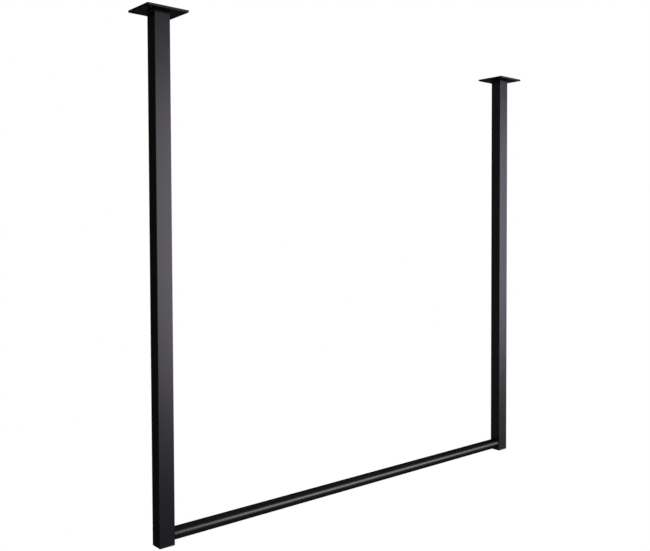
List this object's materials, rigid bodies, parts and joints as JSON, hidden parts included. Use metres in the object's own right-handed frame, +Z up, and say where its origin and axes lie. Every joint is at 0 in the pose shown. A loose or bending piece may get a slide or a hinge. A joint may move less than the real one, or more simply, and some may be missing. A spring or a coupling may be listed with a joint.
{
  "type": "hanging rail",
  "caption": "Ceiling-hung clothes rail: a round steel rail between square tube posts that hang from screw-up ceiling plates, in satin black.",
  "frame": {"origin": "on the ceiling plane, midway between the posts", "axes": "+X along the rail, +Y through the frame from front to back, +Z up towards the ceiling"},
  "size_m": [1.05, 0.08, 1],
  "materials": {
    "black_powder_coat": "satin",
    "black_plastic": "satin"
  },
  "bodies": {
    "root": {"ceiling_plate_left": "black_powder_coat", "ceiling_plate_right": "black_powder_coat", "post_left": "black_powder_coat", "post_right": "black_powder_coat", "hanging_rail": "black_powder_coat", "plate_weld_left": "black_powder_coat", "plate_weld_right": "black_powder_coat", "rail_weld_left": "black_powder_coat", "rail_weld_right": "black_powder_coat", "end_cap_left": "black_plastic", "end_cap_right": "black_plastic"}
  },
  "joints": []
}
